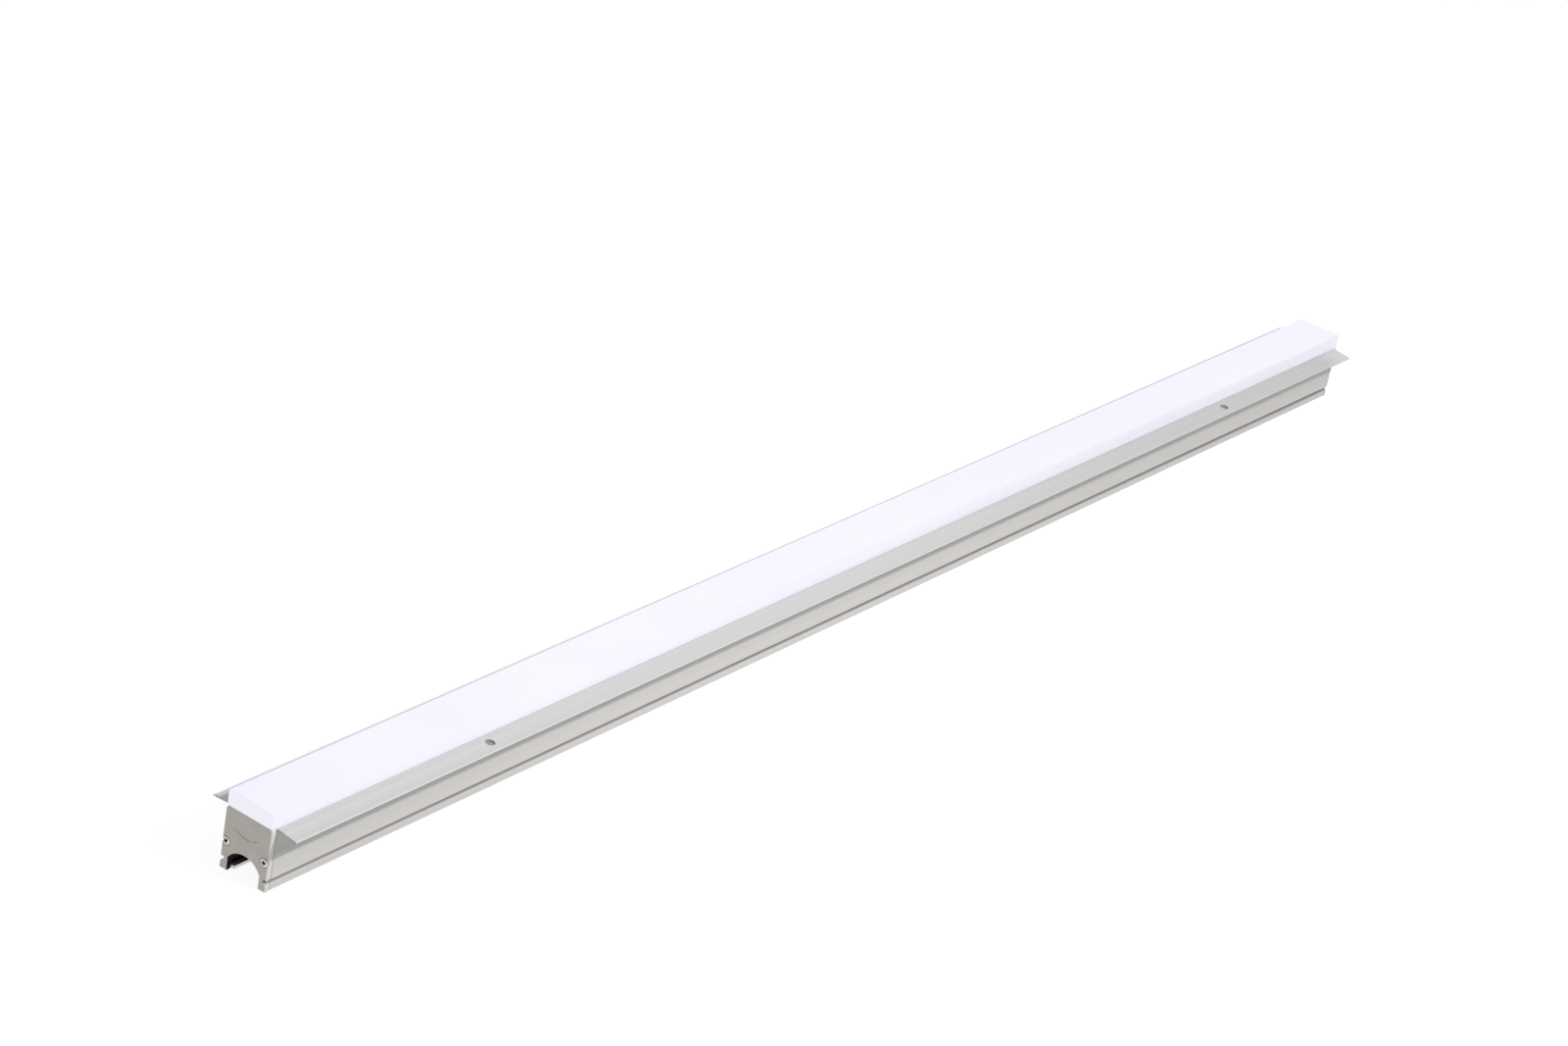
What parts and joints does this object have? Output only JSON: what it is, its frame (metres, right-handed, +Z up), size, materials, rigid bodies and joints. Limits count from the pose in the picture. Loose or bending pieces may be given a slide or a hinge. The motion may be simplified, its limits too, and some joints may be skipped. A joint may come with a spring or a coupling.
{
  "type": "outdoor wall washer light",
  "caption": "Long outdoor linear light: an aluminium extrusion with drooping side flanges and a wiring channel, a milky cover and flat end caps.",
  "frame": {"origin": "on the surface that the feet stand on, under the middle of the light", "axes": "+X along the light, +Y across it, +Z up out of the cover"},
  "size_m": [1.001, 0.055, 0.0435],
  "materials": {
    "housing_aluminium": "fine matt anodised, drawn along the light",
    "cap_aluminium": "flat grey, fine blasted",
    "cap_gasket_rubber": "dark matt rubber",
    "screw_steel": "bright stainless",
    "milky_cover": "milky white, satin",
    "seal_silicone": "translucent silicone",
    "board_white": "white solder mask",
    "led_phosphor": "yellow phosphor in a white package",
    "thermal_pad_rubber": "grey-blue soft pad",
    "terminal_plastic": "white moulded",
    "chip_black": "black moulded",
    "grommet_rubber": "black rubber"
  },
  "bodies": {
    "root": {"housing": "housing_aluminium", "left_end_cap": "cap_aluminium", "right_end_cap": "cap_aluminium", "left_cap_gasket": "cap_gasket_rubber", "right_cap_gasket": "cap_gasket_rubber", "left_cap_screws": "screw_steel", "right_cap_screws": "screw_steel", "diffuser_cover": "milky_cover", "left_cover_end": "milky_cover", "right_cover_end": "milky_cover", "near_cover_seal": "seal_silicone", "far_cover_seal": "seal_silicone", "thermal_pad_1": "thermal_pad_rubber", "thermal_pad_2": "thermal_pad_rubber", "thermal_pad_3": "thermal_pad_rubber", "thermal_pad_4": "thermal_pad_rubber", "led_board_1": "board_white", "led_board_2": "board_white", "led_board_3": "board_white", "led_board_4": "board_white", "led_row_1": "led_phosphor", "led_row_2": "led_phosphor", "led_row_3": "led_phosphor", "led_row_4": "led_phosphor", "board_link_1": "terminal_plastic", "board_link_2": "terminal_plastic", "board_link_3": "terminal_plastic", "feed_terminal": "terminal_plastic", "through_terminal": "terminal_plastic", "current_regulators": "chip_black", "setting_resistors": "chip_black", "surge_diode": "chip_black", "left_cable_grommet": "grommet_rubber", "right_cable_grommet": "grommet_rubber"}
  },
  "joints": []
}
